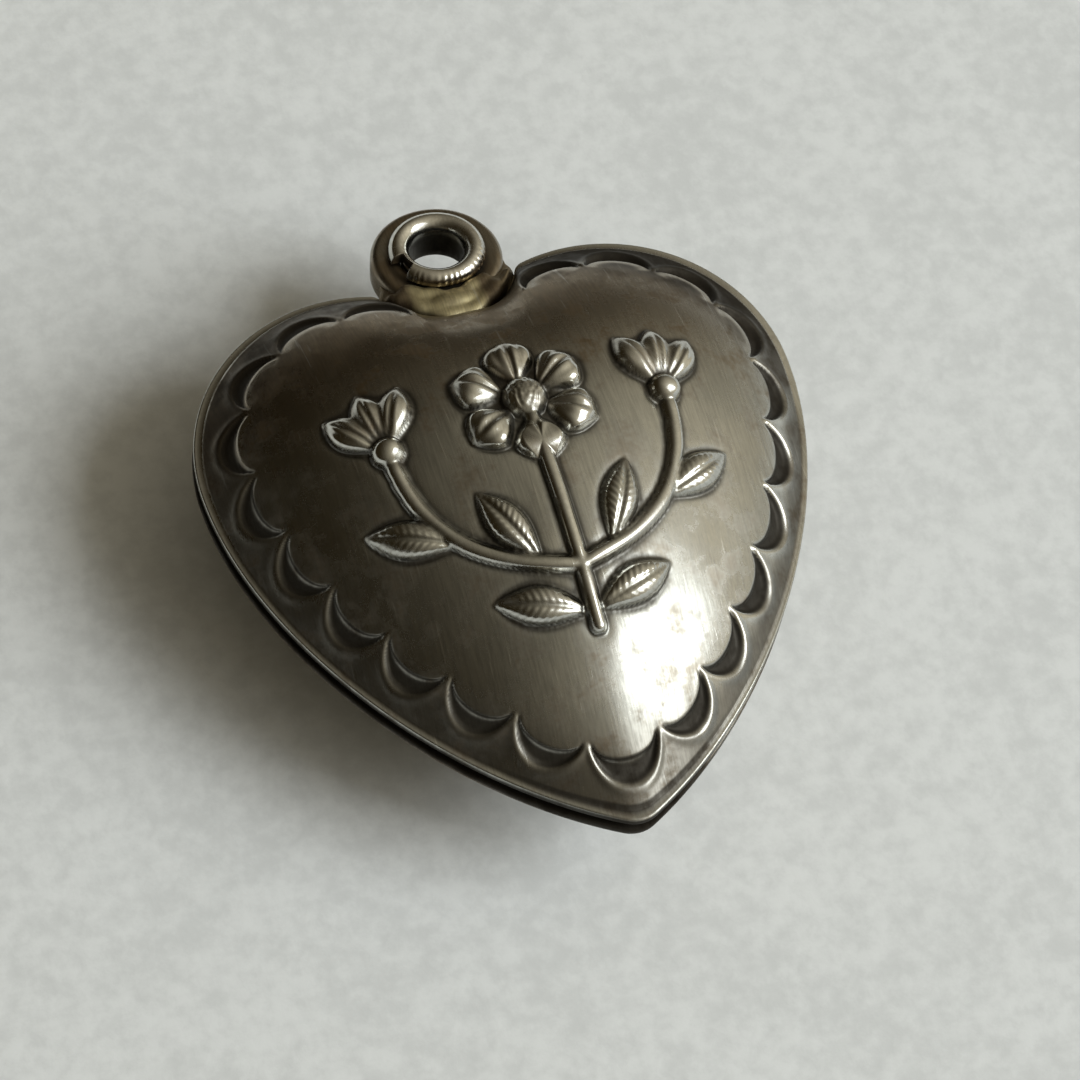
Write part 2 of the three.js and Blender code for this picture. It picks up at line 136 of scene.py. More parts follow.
class SprigSizes(bpy.types.PropertyGroup):
    """Flower sprig in relief on the front shell"""
    height: size("Height", "Height of petals and leaves over the dome", 0.42)
    bloom_drop: size("Bloom drop", "Distance of the bloom below the lobe centres", 1.2)
    petals: number("Petals", "Petals of the bloom", 6)
    petal_length: size("Petal length", "Length of a petal", 1.75)
    petal_width: size("Petal width", "Width of a petal", 1.4)
    button: size("Button", "Radius of the bloom's middle", 0.62)
    stem_width: size("Stem width", "Width of the stems", 0.46)
    stem_rise: size("Stem rise", "Distance of the stem's foot above the tip", 4.66)
    fork_rise: size("Fork rise", "Distance of the fork above the stem's foot", 1.6)
    side_bow: size("Side bow", "Rise of the bow in the side stems", 0.9)
    bud_out: size("Bud out", "Distance of the buds outside the lobe centres", 0.4)
    bud_drop: size("Bud drop", "Distance of the buds below the lobe centres", 1.6)
    bud_petals: number("Bud petals", "Petals of a bud", 3)
    bud_length: size("Bud length", "Length of a bud's petal", 2.1)
    bud_width: size("Bud width", "Width of a bud's petal", 0.95)
    calyx: size("Calyx", "Radius of the bead under a bud", 0.44)
    bud_fan: angle("Bud fan", "Angle between the petals of a bud", 31)
    bud_lean: angle("Bud lean", "Outward lean of the buds", 7)
    leaf_length: size("Leaf length", "Length of a leaf", 2.7)
    leaf_width: size("Leaf width", "Width of a leaf", 1)
    foot_leaf: angle("Foot leaf", "Lean of the leaves at the stem's foot", 69)
    fork_leaf: angle("Fork leaf", "Lean of the leaves above the fork", 26)
    side_leaf: angle("Side leaf", "Lean of the leaves under the side stems", 62)
    crease: size("Crease", "Depth of the creases along petals and leaves", 0.07)


class BailSizes(bpy.types.PropertyGroup):
    """Ring bail, its eyelet and solder"""
    stand: size("Stand", "Distance of the bail's centre above the lobes", 0.55)
    radius: size("Radius", "Outer radius of the collar", 1.88)
    length: size("Length", "Length of the collar along its bore", 1)
    rounding: size("Rounding", "Rounding of the collar's outer edges", 0.22)
    lean: angle("Lean", "Backward lean of the bail", 12)
    hole: size("Hole", "Radius of the eyelet's hole", 0.78)
    wall: size("Wall", "Wall of the eyelet", 0.24)
    flare: size("Flare", "Widening of the hole at the back", 0.16)
    flare_depth: size("Flare depth", "Depth of the widening at the back", 0.5)
    flange: size("Flange", "Outer radius of the rolled flange", 1.38)
    flange_height: size("Flange height", "Height of the rolled flange", 0.36)
    gap_start: angle("Gap start", "Angle at which the flange breaks off", 184)
    gap_end: angle("Gap end", "Angle at which the flange starts again", 214)
    fit: size("Fit", "Play of the eyelet in the collar", 0.08)
    clearance: size("Seat clearance", "Gap between the collar and the notch", 0.3)
    foot_cut: size("Foot cut", "Depth filed off the collar's foot", 0.38)
    solder: size("Solder", "Thickness of solder under the foot", 0.55)
    crimp: size("Crimp", "Depth of the crimps in the flange's lower edge", 0.025)


class SilverLook(bpy.types.PropertyGroup):
    """Colours of the tarnished silver"""
    clean: colour("Clean", "Silver worn clean", (0.715, 0.712, 0.67))
    dull: colour("Dull", "Silver under a thin tarnish", (0.393, 0.393, 0.362))
    brown: colour("Brown", "Warm brown toning", (0.24, 0.185, 0.12))
    oxide: colour("Oxide", "Black oxide in the recesses", (0.032, 0.028, 0.023))
    solder: colour("Solder", "Yellowish silver solder", (0.92, 0.84, 0.53))
    dull_solder: colour("Dull solder", "Solder under a thin tarnish", (0.64, 0.575, 0.37))
    polished: colour("Polished", "Silver polished by a jump ring", (0.95, 0.93, 0.87))
    roughness: part("Roughness", "Roughness of the worn metal", 0.19)


class StageLook(bpy.types.PropertyGroup):
    """Floor, light and camera"""
    paper: colour("Paper", "Pale paper that the charm lies on", (0.68, 0.695, 0.69))
    window: amount("Window", "Power of the large soft window light", 4)
    gleam: part("Gleam", "Part of the window light that shows in the metal", 0.42)
    curtain: amount("Curtain", "Power of the dim pane beside the window", 0.28)
    dark_side: colour("Dark side", "Light of the room away from the window", (0.036, 0.026, 0.012))
    bright_side: colour("Bright side", "Light of the room towards the window", (1, 0.91, 0.70))
    room: amount("Room", "Strength of the light of the room", 0.68)
    azimuth: angle("Azimuth", "Direction of the camera round the charm", -28.69)
    elevation: angle("Elevation", "Height of the camera over the table", 60.55)
    roll: angle("Roll", "Turn of the camera about its line of sight", -20.12)
    distance: size("Distance", "Distance of the camera from the heart", 130)
    lens: amount("Lens", "Focal length in millimetres", 159.4)


def smooth(low, high, value):
    """Soft step from 0 at low to 1 at high."""
    t = np.clip((value - low) / (high - low), 0, 1)
    return t * t * (3 - 2 * t)


def bell(value, width):
    return np.exp(-0.5 * (value / width) ** 2)


def plateau(rise, top, edge, foot, value):
    """Soft step up from rise to top and down again from edge to foot."""
    return smooth(rise, top, value) * (1 - smooth(edge, foot, value))


def full_turn(count):
    return np.linspace(0, 2 * pi, count, endpoint=False)


def raised(x, y, height):
    """Points of rings in plan, each ring at its own height."""
    return np.stack([x, y, height[:, None] + 0 * x], axis=2)


def arc(x, y, radius, start, stop, count=60, height=None):
    """Points along a part of a circle, or of an ellipse of another height."""
    turn = np.linspace(start, stop, count)
    return np.stack([x + radius * np.cos(turn), y + (height or radius) * np.sin(turn)], axis=1)


def bezier(*points, count=200):
    """Points along a Bezier curve of any order."""
    t = np.linspace(0, 1, count)[:, None]
    rows = [np.asarray(p, dtype=float) + 0 * t for p in points]
    while len(rows) > 1:
        rows = [(1 - t) * a + t * b for a, b in zip(rows, rows[1:])]
    return rows[0]


def along(points, places):
    """Points of a polyline at places from 0 to 1 of its length."""
    steps = np.hypot(*np.diff(points, axis=0).T)
    run = np.concatenate([[0], np.cumsum(steps)])
    return np.stack([np.interp(places * run[-1], run, points[:, i]) for i in (0, 1)], axis=1)


def circles_meet(a, a_radius, b, b_radius):
    """The meeting point with the larger y of two circles."""
    span = np.subtract(b, a)
    distance = np.hypot(*span)
    far = (a_radius ** 2 - b_radius ** 2 + distance ** 2) / (2 * distance)
    across = sqrt(a_radius ** 2 - far ** 2)
    unit = span / distance
    side = np.array([-unit[1], unit[0]])
    return a + far * unit + across * (side if side[1] > 0 else -side)


class HeartPlan:
    """The heart's outline, its domes and the places that follow from them."""

    def __init__(self, scene):
        self.heart = heart = scene.charm_heart
        self.bail = bail = scene.charm_bail
        self.reach = heart.width / 2
        self.lobe_x = self.reach - heart.lobe_radius
        self.lobe_top = heart.lobe_height + heart.lobe_radius
        self.bail_place = self.lobe_top + bail.stand
        self.foot = self.bail_place - bail.radius + bail.foot_cut
        self.notch = self.foot - bail.solder
        self.back_lip = (heart.thickness - heart.seam_height) / 2
        self.front_lip = self.back_lip + heart.seam_height
        self.seam = self.back_lip + heart.seam_height / 2
        self.rim_level = sqrt(1 - heart.rim_slope ** 2)

    def side_curve(self, inset, lobe_end, with_tip):
        """Tip, flank and lobe of the right half, drawn in from the rim."""
        heart = self.heart
        radius = max(heart.tip_radius - inset, 0)
        lean = heart.tip_angle
        rise = heart.tip_radius - radius
        tip_y = -heart.tip_depth + rise + (inset - rise) / cos(lean)
        turn = lean - UPRIGHT
        start = np.array([radius * cos(turn), tip_y + radius + radius * sin(turn)])
        side = self.reach - inset
        pull = heart.tip_reach * (heart.lobe_radius - inset) / heart.lobe_radius
        flank = bezier(
            start, start + pull * np.array([cos(lean), sin(lean)]),
            (side, heart.lobe_height - heart.lobe_bulge), (side, heart.lobe_height),
            count=FLANK_STEPS + 1)
        lobe = arc(self.lobe_x, heart.lobe_height, heart.lobe_radius - inset, 0, lobe_end, 160)
        curves = [flank, lobe[1:]]
        if with_tip:
            curves.insert(0, arc(0, tip_y + radius, radius, -UPRIGHT, turn)[:-1])
        return np.concatenate(curves)

    def rim(self):
        """The closed outline at the rim, evenly spaced, from the tip up the right side."""
        heart, bail = self.heart, self.bail
        seat = bail.radius + bail.clearance
        lobe = np.array([self.lobe_x, heart.lobe_height])
        ring = np.array([0, self.bail_place])
        corner = circles_meet(
            lobe, heart.lobe_radius - heart.notch_corner, ring, seat + heart.notch_corner)
        lobe_end = atan2(*(corner - lobe)[::-1])
        turn = atan2(*(ring - corner)[::-1])
        flat = sqrt(seat ** 2 - (self.bail_place - self.notch) ** 2)
        seat_start = atan2(*(corner - ring)[::-1])
        seat_end = atan2(self.notch - self.bail_place, flat)
        half = np.concatenate([
            self.side_curve(0, lobe_end, True),
            arc(*corner, heart.notch_corner, lobe_end, turn, 24)[1:],
            arc(*ring, seat, seat_start, seat_end)[1:],
            [(0, self.notch)]])
        half = along(half, np.linspace(0, 1, heart.around // 2 + 1))
        mirrored = half[-2:0:-1] * (-1, 1)
        return np.concatenate([half, mirrored])

    def round_tip(self, x):
        """A round curve across the tip that leaves the flanks smoothly at a part of their length."""
        flank = self.side_curve(0, 0, False)[:FLANK_STEPS + 1]
        place = round(FLANK_STEPS * self.heart.tip_span)
        end = flank[place]
        slope = np.divide(*(flank[place + 1] - flank[place - 1])[::-1])
        curve = end[1] - slope * (end[0] ** 2 - x ** 2) / (2 * end[0])
        return np.where(np.abs(x) < end[0], curve, -1)

    def rings(self, shares, every=1):
        """The outline drawn in to each share of its size; notch and tip fade towards the middle."""
        rim, heart = self.rim()[::every], self.heart
        shares = np.asarray(shares)[:, None]
        notch_left, tip_left = (
            np.maximum(1 - (1 - shares) / reach, 0) ** 1.5
            for reach in (heart.notch_reach, heart.tip_fade))
        in_notch = (rim[:, 1] > heart.lobe_height) & (np.abs(rim[:, 0]) < self.lobe_x)
        fill = np.where(in_notch, self.lobe_top - rim[:, 1], 0) * (1 - notch_left)
        lift = np.where(rim[:, 1] < 0, self.round_tip(rim[:, 0]) - rim[:, 1], 0)
        fill = fill + np.maximum(lift, 0) * (1 - tip_left)
        x = shares * rim[:, 0]
        y = heart.dome_centre + shares * (rim[:, 1] - heart.dome_centre + fill)
        return x, y

    def closed_flank(self, x, y):
        """The lower right flank, where the lips are pressed together and evenly grey."""
        return smooth(0.0005, 0.0035, x) * (1 - smooth(0.001, 0.005, y))

    def lip_tarnish(self, x, y):
        """Along a lip: the oxide on its seam face, a darkening near the tip and the wear up the sides."""
        closed = self.closed_flank(x, y)
        from_tip = np.hypot(x, y + self.heart.tip_depth)
        oxide = 0.95 - 0.5 * closed
        # Darker within a few millimetres of the tip.
        tip_darkening = 0.25 * (1 - smooth(0.0015, 0.005, from_tip))
        wear_and_sheen = 0.5 * (1 - 0.8 * closed) * smooth(0.003, 0.0065, from_tip)
        return oxide, tip_darkening, wear_and_sheen

    def dome(self, share):
        """Height of a dome from 0 at its rim to 1 at its crown."""
        level = np.sqrt(1 - (self.heart.rim_slope * share) ** 2)
        return (level - self.rim_level) / (1 - self.rim_level)

    def dome_share(self, height):
        """Share of the rim at which a dome has a height from 0 to 1."""
        level = self.rim_level + height * (1 - self.rim_level)
        return sqrt(1 - level ** 2) / self.heart.rim_slope

    def shell(self, crown, shares):
        """Rows of share and height from the crown of the hollow round the lip to the crown outside."""
        heart = self.heart
        rise = self.back_lip + crown
        inner = rise - heart.sheet
        inner_edge = 1 - heart.lip_width / self.reach
        hollow = np.linspace(self.dome_share(1 - max(crown, 1e-5) / inner), 1, 8)
        rounding = heart.lip_round
        turn = np.linspace(0, UPRIGHT, BEVEL_ROWS)
        bevel = rounding / self.reach
        swelling = rise - heart.lip_height
        outer_edge = 1 - heart.lip_flange / self.reach
        share = np.concatenate([
            inner_edge * hollow, 1 - bevel + bevel * np.sin(turn),
            1 - bevel + bevel * np.cos(turn), outer_edge * shares])
        height = np.concatenate([
            inner * self.dome(hollow), rounding - rounding * np.cos(turn),
            heart.lip_height - rounding + rounding * np.sin(turn),
            heart.lip_height + swelling * self.dome(shares)])
        first_outside = len(hollow) + 2 * BEVEL_ROWS
        return share, height, first_outside


def lip_rows(first_outside):
    """Rows of a shell's lip: its face in the seam, the foot of its side and its rounded edge."""
    foot = first_outside - BEVEL_ROWS
    return slice(foot - BEVEL_ROWS - 1, foot), foot, slice(foot + 1, first_outside - 1)


def ripple(x, y, count=14):
    """Gentle dents from 0 to 1 made of plane waves with set phases."""
    chance = np.random.default_rng(11)
    total = np.zeros_like(x)
    for _ in range(count):
        turn, phase = chance.uniform(0, 2 * pi, 2)
        wave = 2 * pi / chance.uniform(0.0011, 0.0042)
        total += np.cos(wave * (x * cos(turn) + y * sin(turn)) + phase)
    return 0.5 + 0.5 * total / count


def border_marks(plan, border, x, y):
    """Masks of the border's grooves, raised lines, dark floors, walls painted with shade, and brightened
    plateau edges.
    """
    path = plan.side_curve(border.inset, border.end, False)
    last = border.per_side + border.tip_width
    cusps = along(path, (np.arange(border.per_side + 1) + border.tip_width) / last)
    mirrored = cusps * (-1, 1)
    marks = crescent(border, mirrored[0], cusps[0], border.tip_swell, x, y)
    for a, b in [*zip(cusps, cusps[1:]), *zip(mirrored[1:], mirrored)]:
        marks = np.maximum(marks, crescent(border, a, b, 1, x, y))
    return marks


def crescent(border, a, b, swell, x, y):
    """The masks of one scallop: it falls softly from the plateau and rises to a raised line."""
    line_width, rub_width = 0.00008, 0.00006
    outer_swell, inner_swell = swell * border.outer_swell, swell * border.inner_swell
    span = b - a
    half = (np.hypot(*span) - border.cusp_gap) / 2
    unit = span / np.hypot(*span)
    middle = (a + b) / 2
    u = ((x - middle[0]) * unit[0] + (y - middle[1]) * unit[1]) / half
    v = (x - middle[0]) * unit[1] - (y - middle[1]) * unit[0]
    outer = np.hypot(u, v / outer_swell)
    inner = np.hypot(u / border.inner_width, v / inner_swell)
    place = (inner - 1) / np.maximum(inner - outer, 1e-6)
    groove = plateau(-0.15, 0.5, 0.8, 1.04, place)
    ridge = bell((outer - 1.06) * outer_swell, line_width)
    floor = plateau(-0.15, 0.5, 0.9, 1.06, place)
    upper = smooth(0.0025, 0.005, y)
    # Painted shade on the wall that falls from the plateau edge, on the lower half only.
    wall = bell(place - 0.03, 0.19) * (1 - upper)
    marks = smooth(-0.00002, 0.00012, v) * np.stack([groove, ridge, floor, wall])
    inside = (inner - 1) * inner_swell
    # Plateau edges brightened, on the upper half only.
    brightened = bell(inside + line_width, rub_width) * upper * smooth(-0.00012, 0.00002, v)
    return np.concatenate([marks, brightened[None]])


def sprig_relief(plan, sprig, x, y):
    """Height of the flower sprig over the dome."""
    heart = plan.heart
    bloom_fullness, bud_fullness = 1.5, 1.25
    bloom = heart.lobe_height - sprig.bloom_drop
    foot = sprig.stem_rise - heart.tip_depth
    fork = foot + sprig.fork_rise
    middle_stem = bezier((0, foot), (0, fork), (0, bloom - sprig.button), count=40)
    layers = [stem(sprig, middle_stem, x, y), button(sprig, bloom, x, y)]
    for i in range(sprig.petals):
        heading = UPRIGHT + i * 2 * pi / sprig.petals
        root = (sprig.button / 2 * cos(heading), bloom + sprig.button / 2 * sin(heading))
        layers.append(petal(
            sprig, root, heading, sprig.petal_length, sprig.petal_width, bloom_fullness, x, y))
    for side in (-1, 1):
        bud = (side * (plan.lobe_x + sprig.bud_out), heart.lobe_height - sprig.bud_drop)
        side_stem = bezier((0, fork), (bud[0], fork + sprig.side_bow), bud, count=40)
        layers.append(stem(sprig, side_stem, x, y))
        layers.append(bead(bud, sprig.calyx, x, y))
        for i in range(sprig.bud_petals):
            fan = (i - (sprig.bud_petals - 1) / 2) * sprig.bud_fan
            heading = UPRIGHT - side * (sprig.bud_lean + fan)
            layers.append(petal(
                sprig, bud, heading, sprig.bud_length, sprig.bud_width, bud_fullness, x, y))
        roots = (middle_stem[4], side_stem[5], side_stem[18])
        leans = (sprig.foot_leaf, sprig.fork_leaf, sprig.side_leaf)
        for root, lean in zip(roots, leans):
            layers.append(leaf(sprig, root, UPRIGHT - side * lean, x, y))
    return np.maximum.reduce(layers)


def swelling(root, heading, length, width, fullness, height, x, y):
    """A leaf-shaped swelling: its height, place along it, and place across it from -1 to 1."""
    dx, dy = x - root[0], y - root[1]
    t = (dx * cos(heading) + dy * sin(heading)) / length
    across = dy * cos(heading) - dx * sin(heading)
    inside = np.clip(t, 0, 1)
    half = width / 2 * np.sin(pi * inside ** fullness)
    rise = np.sqrt(np.clip(half ** 2 - across ** 2, 0, None)) * (2 * height / width)
    return rise, inside, across / np.maximum(half, 1e-7)


def petal(sprig, root, heading, length, width, fullness, x, y):
    """A petal with a crease along its middle and a rib on each side."""
    rise, t, across = swelling(root, heading, length, width, fullness, sprig.height, x, y)
    crease = bell(across, 0.09) * plateau(0.12, 0.3, 0.72, 0.92, t)
    ribs = 0.35 * bell(np.abs(across) - 0.5, 0.1) * smooth(0.3, 0.5, t)
    return np.maximum(rise - sprig.crease * (crease + ribs), 0)


def leaf(sprig, root, heading, x, y):
    """A leaf with a midrib and slanting veins."""
    fullness, vein_pairs, slant = 1.1, 7, 0.9
    rise, t, across = swelling(
        root, heading, sprig.leaf_length, sprig.leaf_width, fullness, sprig.height, x, y)
    away = np.abs(across)
    midrib = bell(across, 0.1) * (1 - smooth(0.85, 0.97, t))
    veins = 0.4 * np.cos(2 * pi * (vein_pairs * t - slant * away)) ** 8
    return np.maximum(rise - sprig.crease * (midrib + veins * smooth(0.1, 0.3, away)), 0)


def bead(centre, radius, x, y):
    """A half-round bead."""
    return np.sqrt(np.clip(radius ** 2 - (x - centre[0]) ** 2 - (y - centre[1]) ** 2, 0, None))


def button(sprig, bloom, x, y):
    """The bloom's middle, with small seeds punched in rings."""
    seed_rings, seed_height = 3, 0.000022
    dome = bead((0, bloom), sprig.button, x, y)
    place = seed_rings * np.hypot(x, y - bloom) / sprig.button
    turn = np.arctan2(y - bloom, x)
    seeds = np.cos(2 * pi * place) * np.cos(5 * turn * np.maximum(np.round(place), 1))
    return np.where(dome > 0, np.maximum(0.8 * dome + seed_height * seeds, 0), 0)


def stem(sprig, path, x, y):
    """A half-round stem along a path."""
    radius = sprig.stem_width / 2
    nearest = np.full_like(x, 1)
    for a, b in zip(path, path[1:]):
        span = b - a
        t = np.clip(((x - a[0]) * span[0] + (y - a[1]) * span[1]) / (span @ span), 0, 1)
        far = (x - a[0] - t * span[0]) ** 2 + (y - a[1] - t * span[1]) ** 2
        nearest = np.minimum(nearest, far)
    return np.sqrt(np.clip(radius ** 2 - nearest, 0, None))


def surface_normals(points):
    """Normals of a grid whose columns close on themselves, pointing away from the table."""
    down = np.gradient(points, axis=0)
    around = np.roll(points, -1, axis=1) - np.roll(points, 1, axis=1)
    normals = np.cross(around, down)
    normals /= np.maximum(np.linalg.norm(normals, axis=2, keepdims=True), 1e-12)
    return normals * np.where(normals[..., 2:] < 0, -1, 1)


def blurred(values, points, width):
    """Values of a grid averaged over a width on its surface."""
    steps = np.linalg.norm(np.roll(points, -1, axis=1) - points, axis=2).mean(axis=1)
    waves = np.fft.rfftfreq(values.shape[1])
    keep = np.exp(-2 * (pi * waves[None, :] * width / steps[:, None]) ** 2)
    spread = np.fft.irfft(np.fft.rfft(values, axis=1) * keep, n=values.shape[1], axis=1)
    drops = np.linalg.norm(np.diff(points, axis=0), axis=2).mean(axis=1)
    run = np.concatenate([[0], np.cumsum(drops)])
    weights = bell(run[:, None] - run[None, :], width)
    return weights / weights.sum(axis=1, keepdims=True) @ spread


def grid_faces(rows, columns, closed=False):
    """Quads of a grid whose columns, and rows if closed, join up."""
    row = np.arange(rows if closed else rows - 1)[:, None]
    column = np.arange(columns)[None, :]
    after, beside = (row + 1) % rows, (column + 1) % columns
    corners = np.broadcast_arrays(
        row * columns + column, row * columns + beside,
        after * columns + beside, after * columns + column)
    return np.stack(corners, axis=2).reshape(-1, 4).tolist()


def new_object(name, data):
    item = bpy.data.objects.new(name, data)
    bpy.context.scene.collection.objects.link(item)
    return item


def new_piece(name, points, faces, marks, node, finish):
    """A smooth mesh in the scene that stands for a CAD node and carries its marks as attributes."""
    mesh = bpy.data.meshes.new(name)
    mesh.from_pydata(np.asarray(points).reshape(-1, 3).tolist(), [], faces)
    work = bmesh.new()
    work.from_mesh(mesh)
    bmesh.ops.recalc_face_normals(work, faces=work.faces)
    work.to_mesh(mesh)
    work.free()
    mesh.shade_smooth()
    for key, values in marks.items():
        mark = mesh.attributes.new(key, "FLOAT", "POINT")
        mark.data.foreach_set("value", np.ascontiguousarray(values, dtype=np.float32).ravel())
    piece = new_object(name, mesh)
    mesh.materials.append(finish)
    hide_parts(node)
    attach(piece, "root")
    return piece


def capped(points, marks):
    """A grid closed with a point in the middle of its first and of its last ring."""
    rows, columns = points.shape[:2]
    faces = grid_faces(rows, columns)
    flat = np.concatenate([points.reshape(-1, 3), points[[0, -1]].mean(axis=1)])
    low, high, last = rows * columns, rows * columns + 1, (rows - 1) * columns
    for i in range(columns):
        beside = (i + 1) % columns
        faces += [[low, beside, i], [high, last + i, last + beside]]
    ends = {key: np.concatenate([values.ravel(), [0, 0]]) for key, values in marks.items()}
    return flat, faces, ends


class Value:
    """An output of a shader node that takes part in plain sums."""

    def __init__(self, weave, socket):
        self.weave = weave
        self.socket = socket

    def _sum(self, operation, first, second):
        return self.weave.node("ShaderNodeMath", {"operation": operation}, {0: first, 1: second})

    def __add__(self, other):
        return self._sum("ADD", self, other)

    def __radd__(self, other):
        return self._sum("ADD", other, self)

    def __sub__(self, other):
        return self._sum("SUBTRACT", self, other)

    def __rsub__(self, other):
        return self._sum("SUBTRACT", other, self)

    def __mul__(self, other):
        return self._sum("MULTIPLY", self, other)

    def __rmul__(self, other):
        return self._sum("MULTIPLY", other, self)


class Weave:
    """Adds nodes to a shader tree and links them."""

    def __init__(self, tree):
        self.tree = tree
        tree.nodes.clear()

    def node(self, kind, settings, sockets, output=0):
        """A new node: its settings first, then values or links for its sockets."""
        node = self.tree.nodes.new(kind)
        for key, item in settings.items():
            setattr(node, key, item)
        for key, item in sockets.items():
            socket = node.inputs[key] if isinstance(key, int) else next(
                s for s in node.inputs if key in (s.identifier, s.name))
            if isinstance(item, Value):
                self.tree.links.new(item.socket, socket)
            else:
                socket.default_value = item
        if not node.outputs:
            return None
        return Value(self, node.outputs[output])

    def noise(self, place, scale, detail=4, roughness=0.55):
        return self.node("ShaderNodeTexNoise", {}, {
            "Vector": place, "Scale": scale, "Detail": detail, "Roughness": roughness}, "Fac")

    def between(self, value, low, high, to_low=0, to_high=1):
        return self.node("ShaderNodeMapRange", {"interpolation_type": "SMOOTHSTEP"}, {
            "Value": value, "From Min": low, "From Max": high, "To Min": to_low, "To Max": to_high})

    def mix(self, share, first, second):
        return self.node("ShaderNodeMix", {"data_type": "RGBA", "clamp_factor": True}, {
            "Factor_Float": share, "A_Color": first, "B_Color": second}, 2)

    def surface(self, sockets):
        """The shader of the surface and the material's output."""
        shader = self.node("ShaderNodeBsdfPrincipled", {}, sockets)
        self.node("ShaderNodeOutputMaterial", {}, {"Surface": shader})


def opaque(rgb):
    return (*rgb, 1)


def new_finish(name):
    """A new material, the weave for its nodes, and the place on the piece."""
    material = bpy.data.materials.new(name)
    material.use_nodes = True
    weave = Weave(material.node_tree)
    return material, weave, weave.node("ShaderNodeTexCoord", {}, {}, "Object")


def silver_finish(name, look, base, dull, dull_share, roughness, worn=None):
    """Tarnished silver: dark in the recesses and where shade is painted, worn clean on the edges and
    bright where a sheen or highlight is painted, brushed and scratched.
    """
    material, weave, place = new_finish(name)
    worn, oxide = opaque(worn or look.clean), opaque(look.oxide)
    hollow, wear_and_sheen, toning = (
        weave.node("ShaderNodeAttribute", {"attribute_name": mark}, {}, "Fac")
        for mark in ("hollow", "wear_and_sheen", "toning"))
    grain_place = weave.node("ShaderNodeMapping", {}, {
        "Vector": place, "Rotation": (0, 0, radians(19)), "Scale": (17000, 900, 2600)})
    scratch_place = weave.node("ShaderNodeMapping", {}, {
        "Vector": place, "Rotation": (0, 0, radians(-37)), "Scale": (9000, 420, 1200)})
    clouds = weave.noise(place, 330, 5, 0.6)
    blots = weave.noise(place, 1150, 6, 0.62)
    specks = weave.noise(place, 7600, 3, 0.6)
    grain = weave.noise(grain_place, 1, 3, 0.6)
    scratches = weave.between(weave.noise(scratch_place, 1, 2, 0.5), 0.66, 0.74)

    cloudy = weave.between(clouds + 0.35 * blots, 0.5, 0.85)
    toned = weave.mix(dull_share + (1 - dull_share) * cloudy * 0.8, opaque(base), opaque(dull))
    stains = weave.between(blots + 0.2 * specks, 0.58, 0.82) * 0.6 + toning * (0.7 + 0.6 * clouds)
    stained = weave.mix(stains, toned, opaque(look.brown))
    streaked = weave.mix(weave.between(grain, 0.3, 0.75) * 0.28, stained, oxide)
    # Clean silver where the metal is worn, and where a sheen or highlight is painted.
    worn_and_sheened = weave.mix(wear_and_sheen * weave.between(specks + blots, 0.55, 1.15, 1, 0.55), streaked, worn)
    scratched = weave.mix(scratches * 0.3, worn_and_sheened, worn)
    # The hollow mark darkens the oxide in recesses and the painted shade on the groove walls.
    sooty_and_shaded = weave.between(hollow + 0.3 * (blots - 0.5), 0.12, 0.8) * 0.94
    blackened_and_shaded = weave.mix(sooty_and_shaded, scratched, oxide)

    rough = (roughness + 0.1 * cloudy + 0.1 * (grain - 0.5) + 0.2 * hollow - 0.07 * wear_and_sheen
             + 0.16 * weave.between(blots, 0.46, 0.66) + 0.25 * weave.between(hollow, 0.5, 0.85))
    height = 0.5 * grain + 0.3 * specks + 0.35 * blots + 0.4 * scratches
    bump = weave.node("ShaderNodeBump", {}, {"Strength": 0.55, "Distance": 0.000005, "Height": height})
    weave.surface({"Base Color": blackened_and_shaded, "Metallic": 1, "Roughness": rough, "Normal": bump})
    return material


def paper_finish(look):
    """Pale paper with a soft mottled felt."""
    material, weave, place = new_finish("paper")
    clouds = weave.noise(place, 260, 4, 0.6)
    felt = weave.noise(place, 1500, 5, 0.62)
    darker = [0.87 * c for c in look.paper]
    mottle = weave.between(0.4 * clouds + 0.6 * felt, 0.38, 0.62)
    tone = weave.mix(mottle, opaque(darker), opaque(look.paper))
    bump = weave.node("ShaderNodeBump", {}, {
        "Strength": 0.3, "Distance": 0.00008, "Height": clouds + 0.5 * felt})
    weave.surface({"Base Color": tone, "Roughness": 0.9, "Normal": bump})
    return material


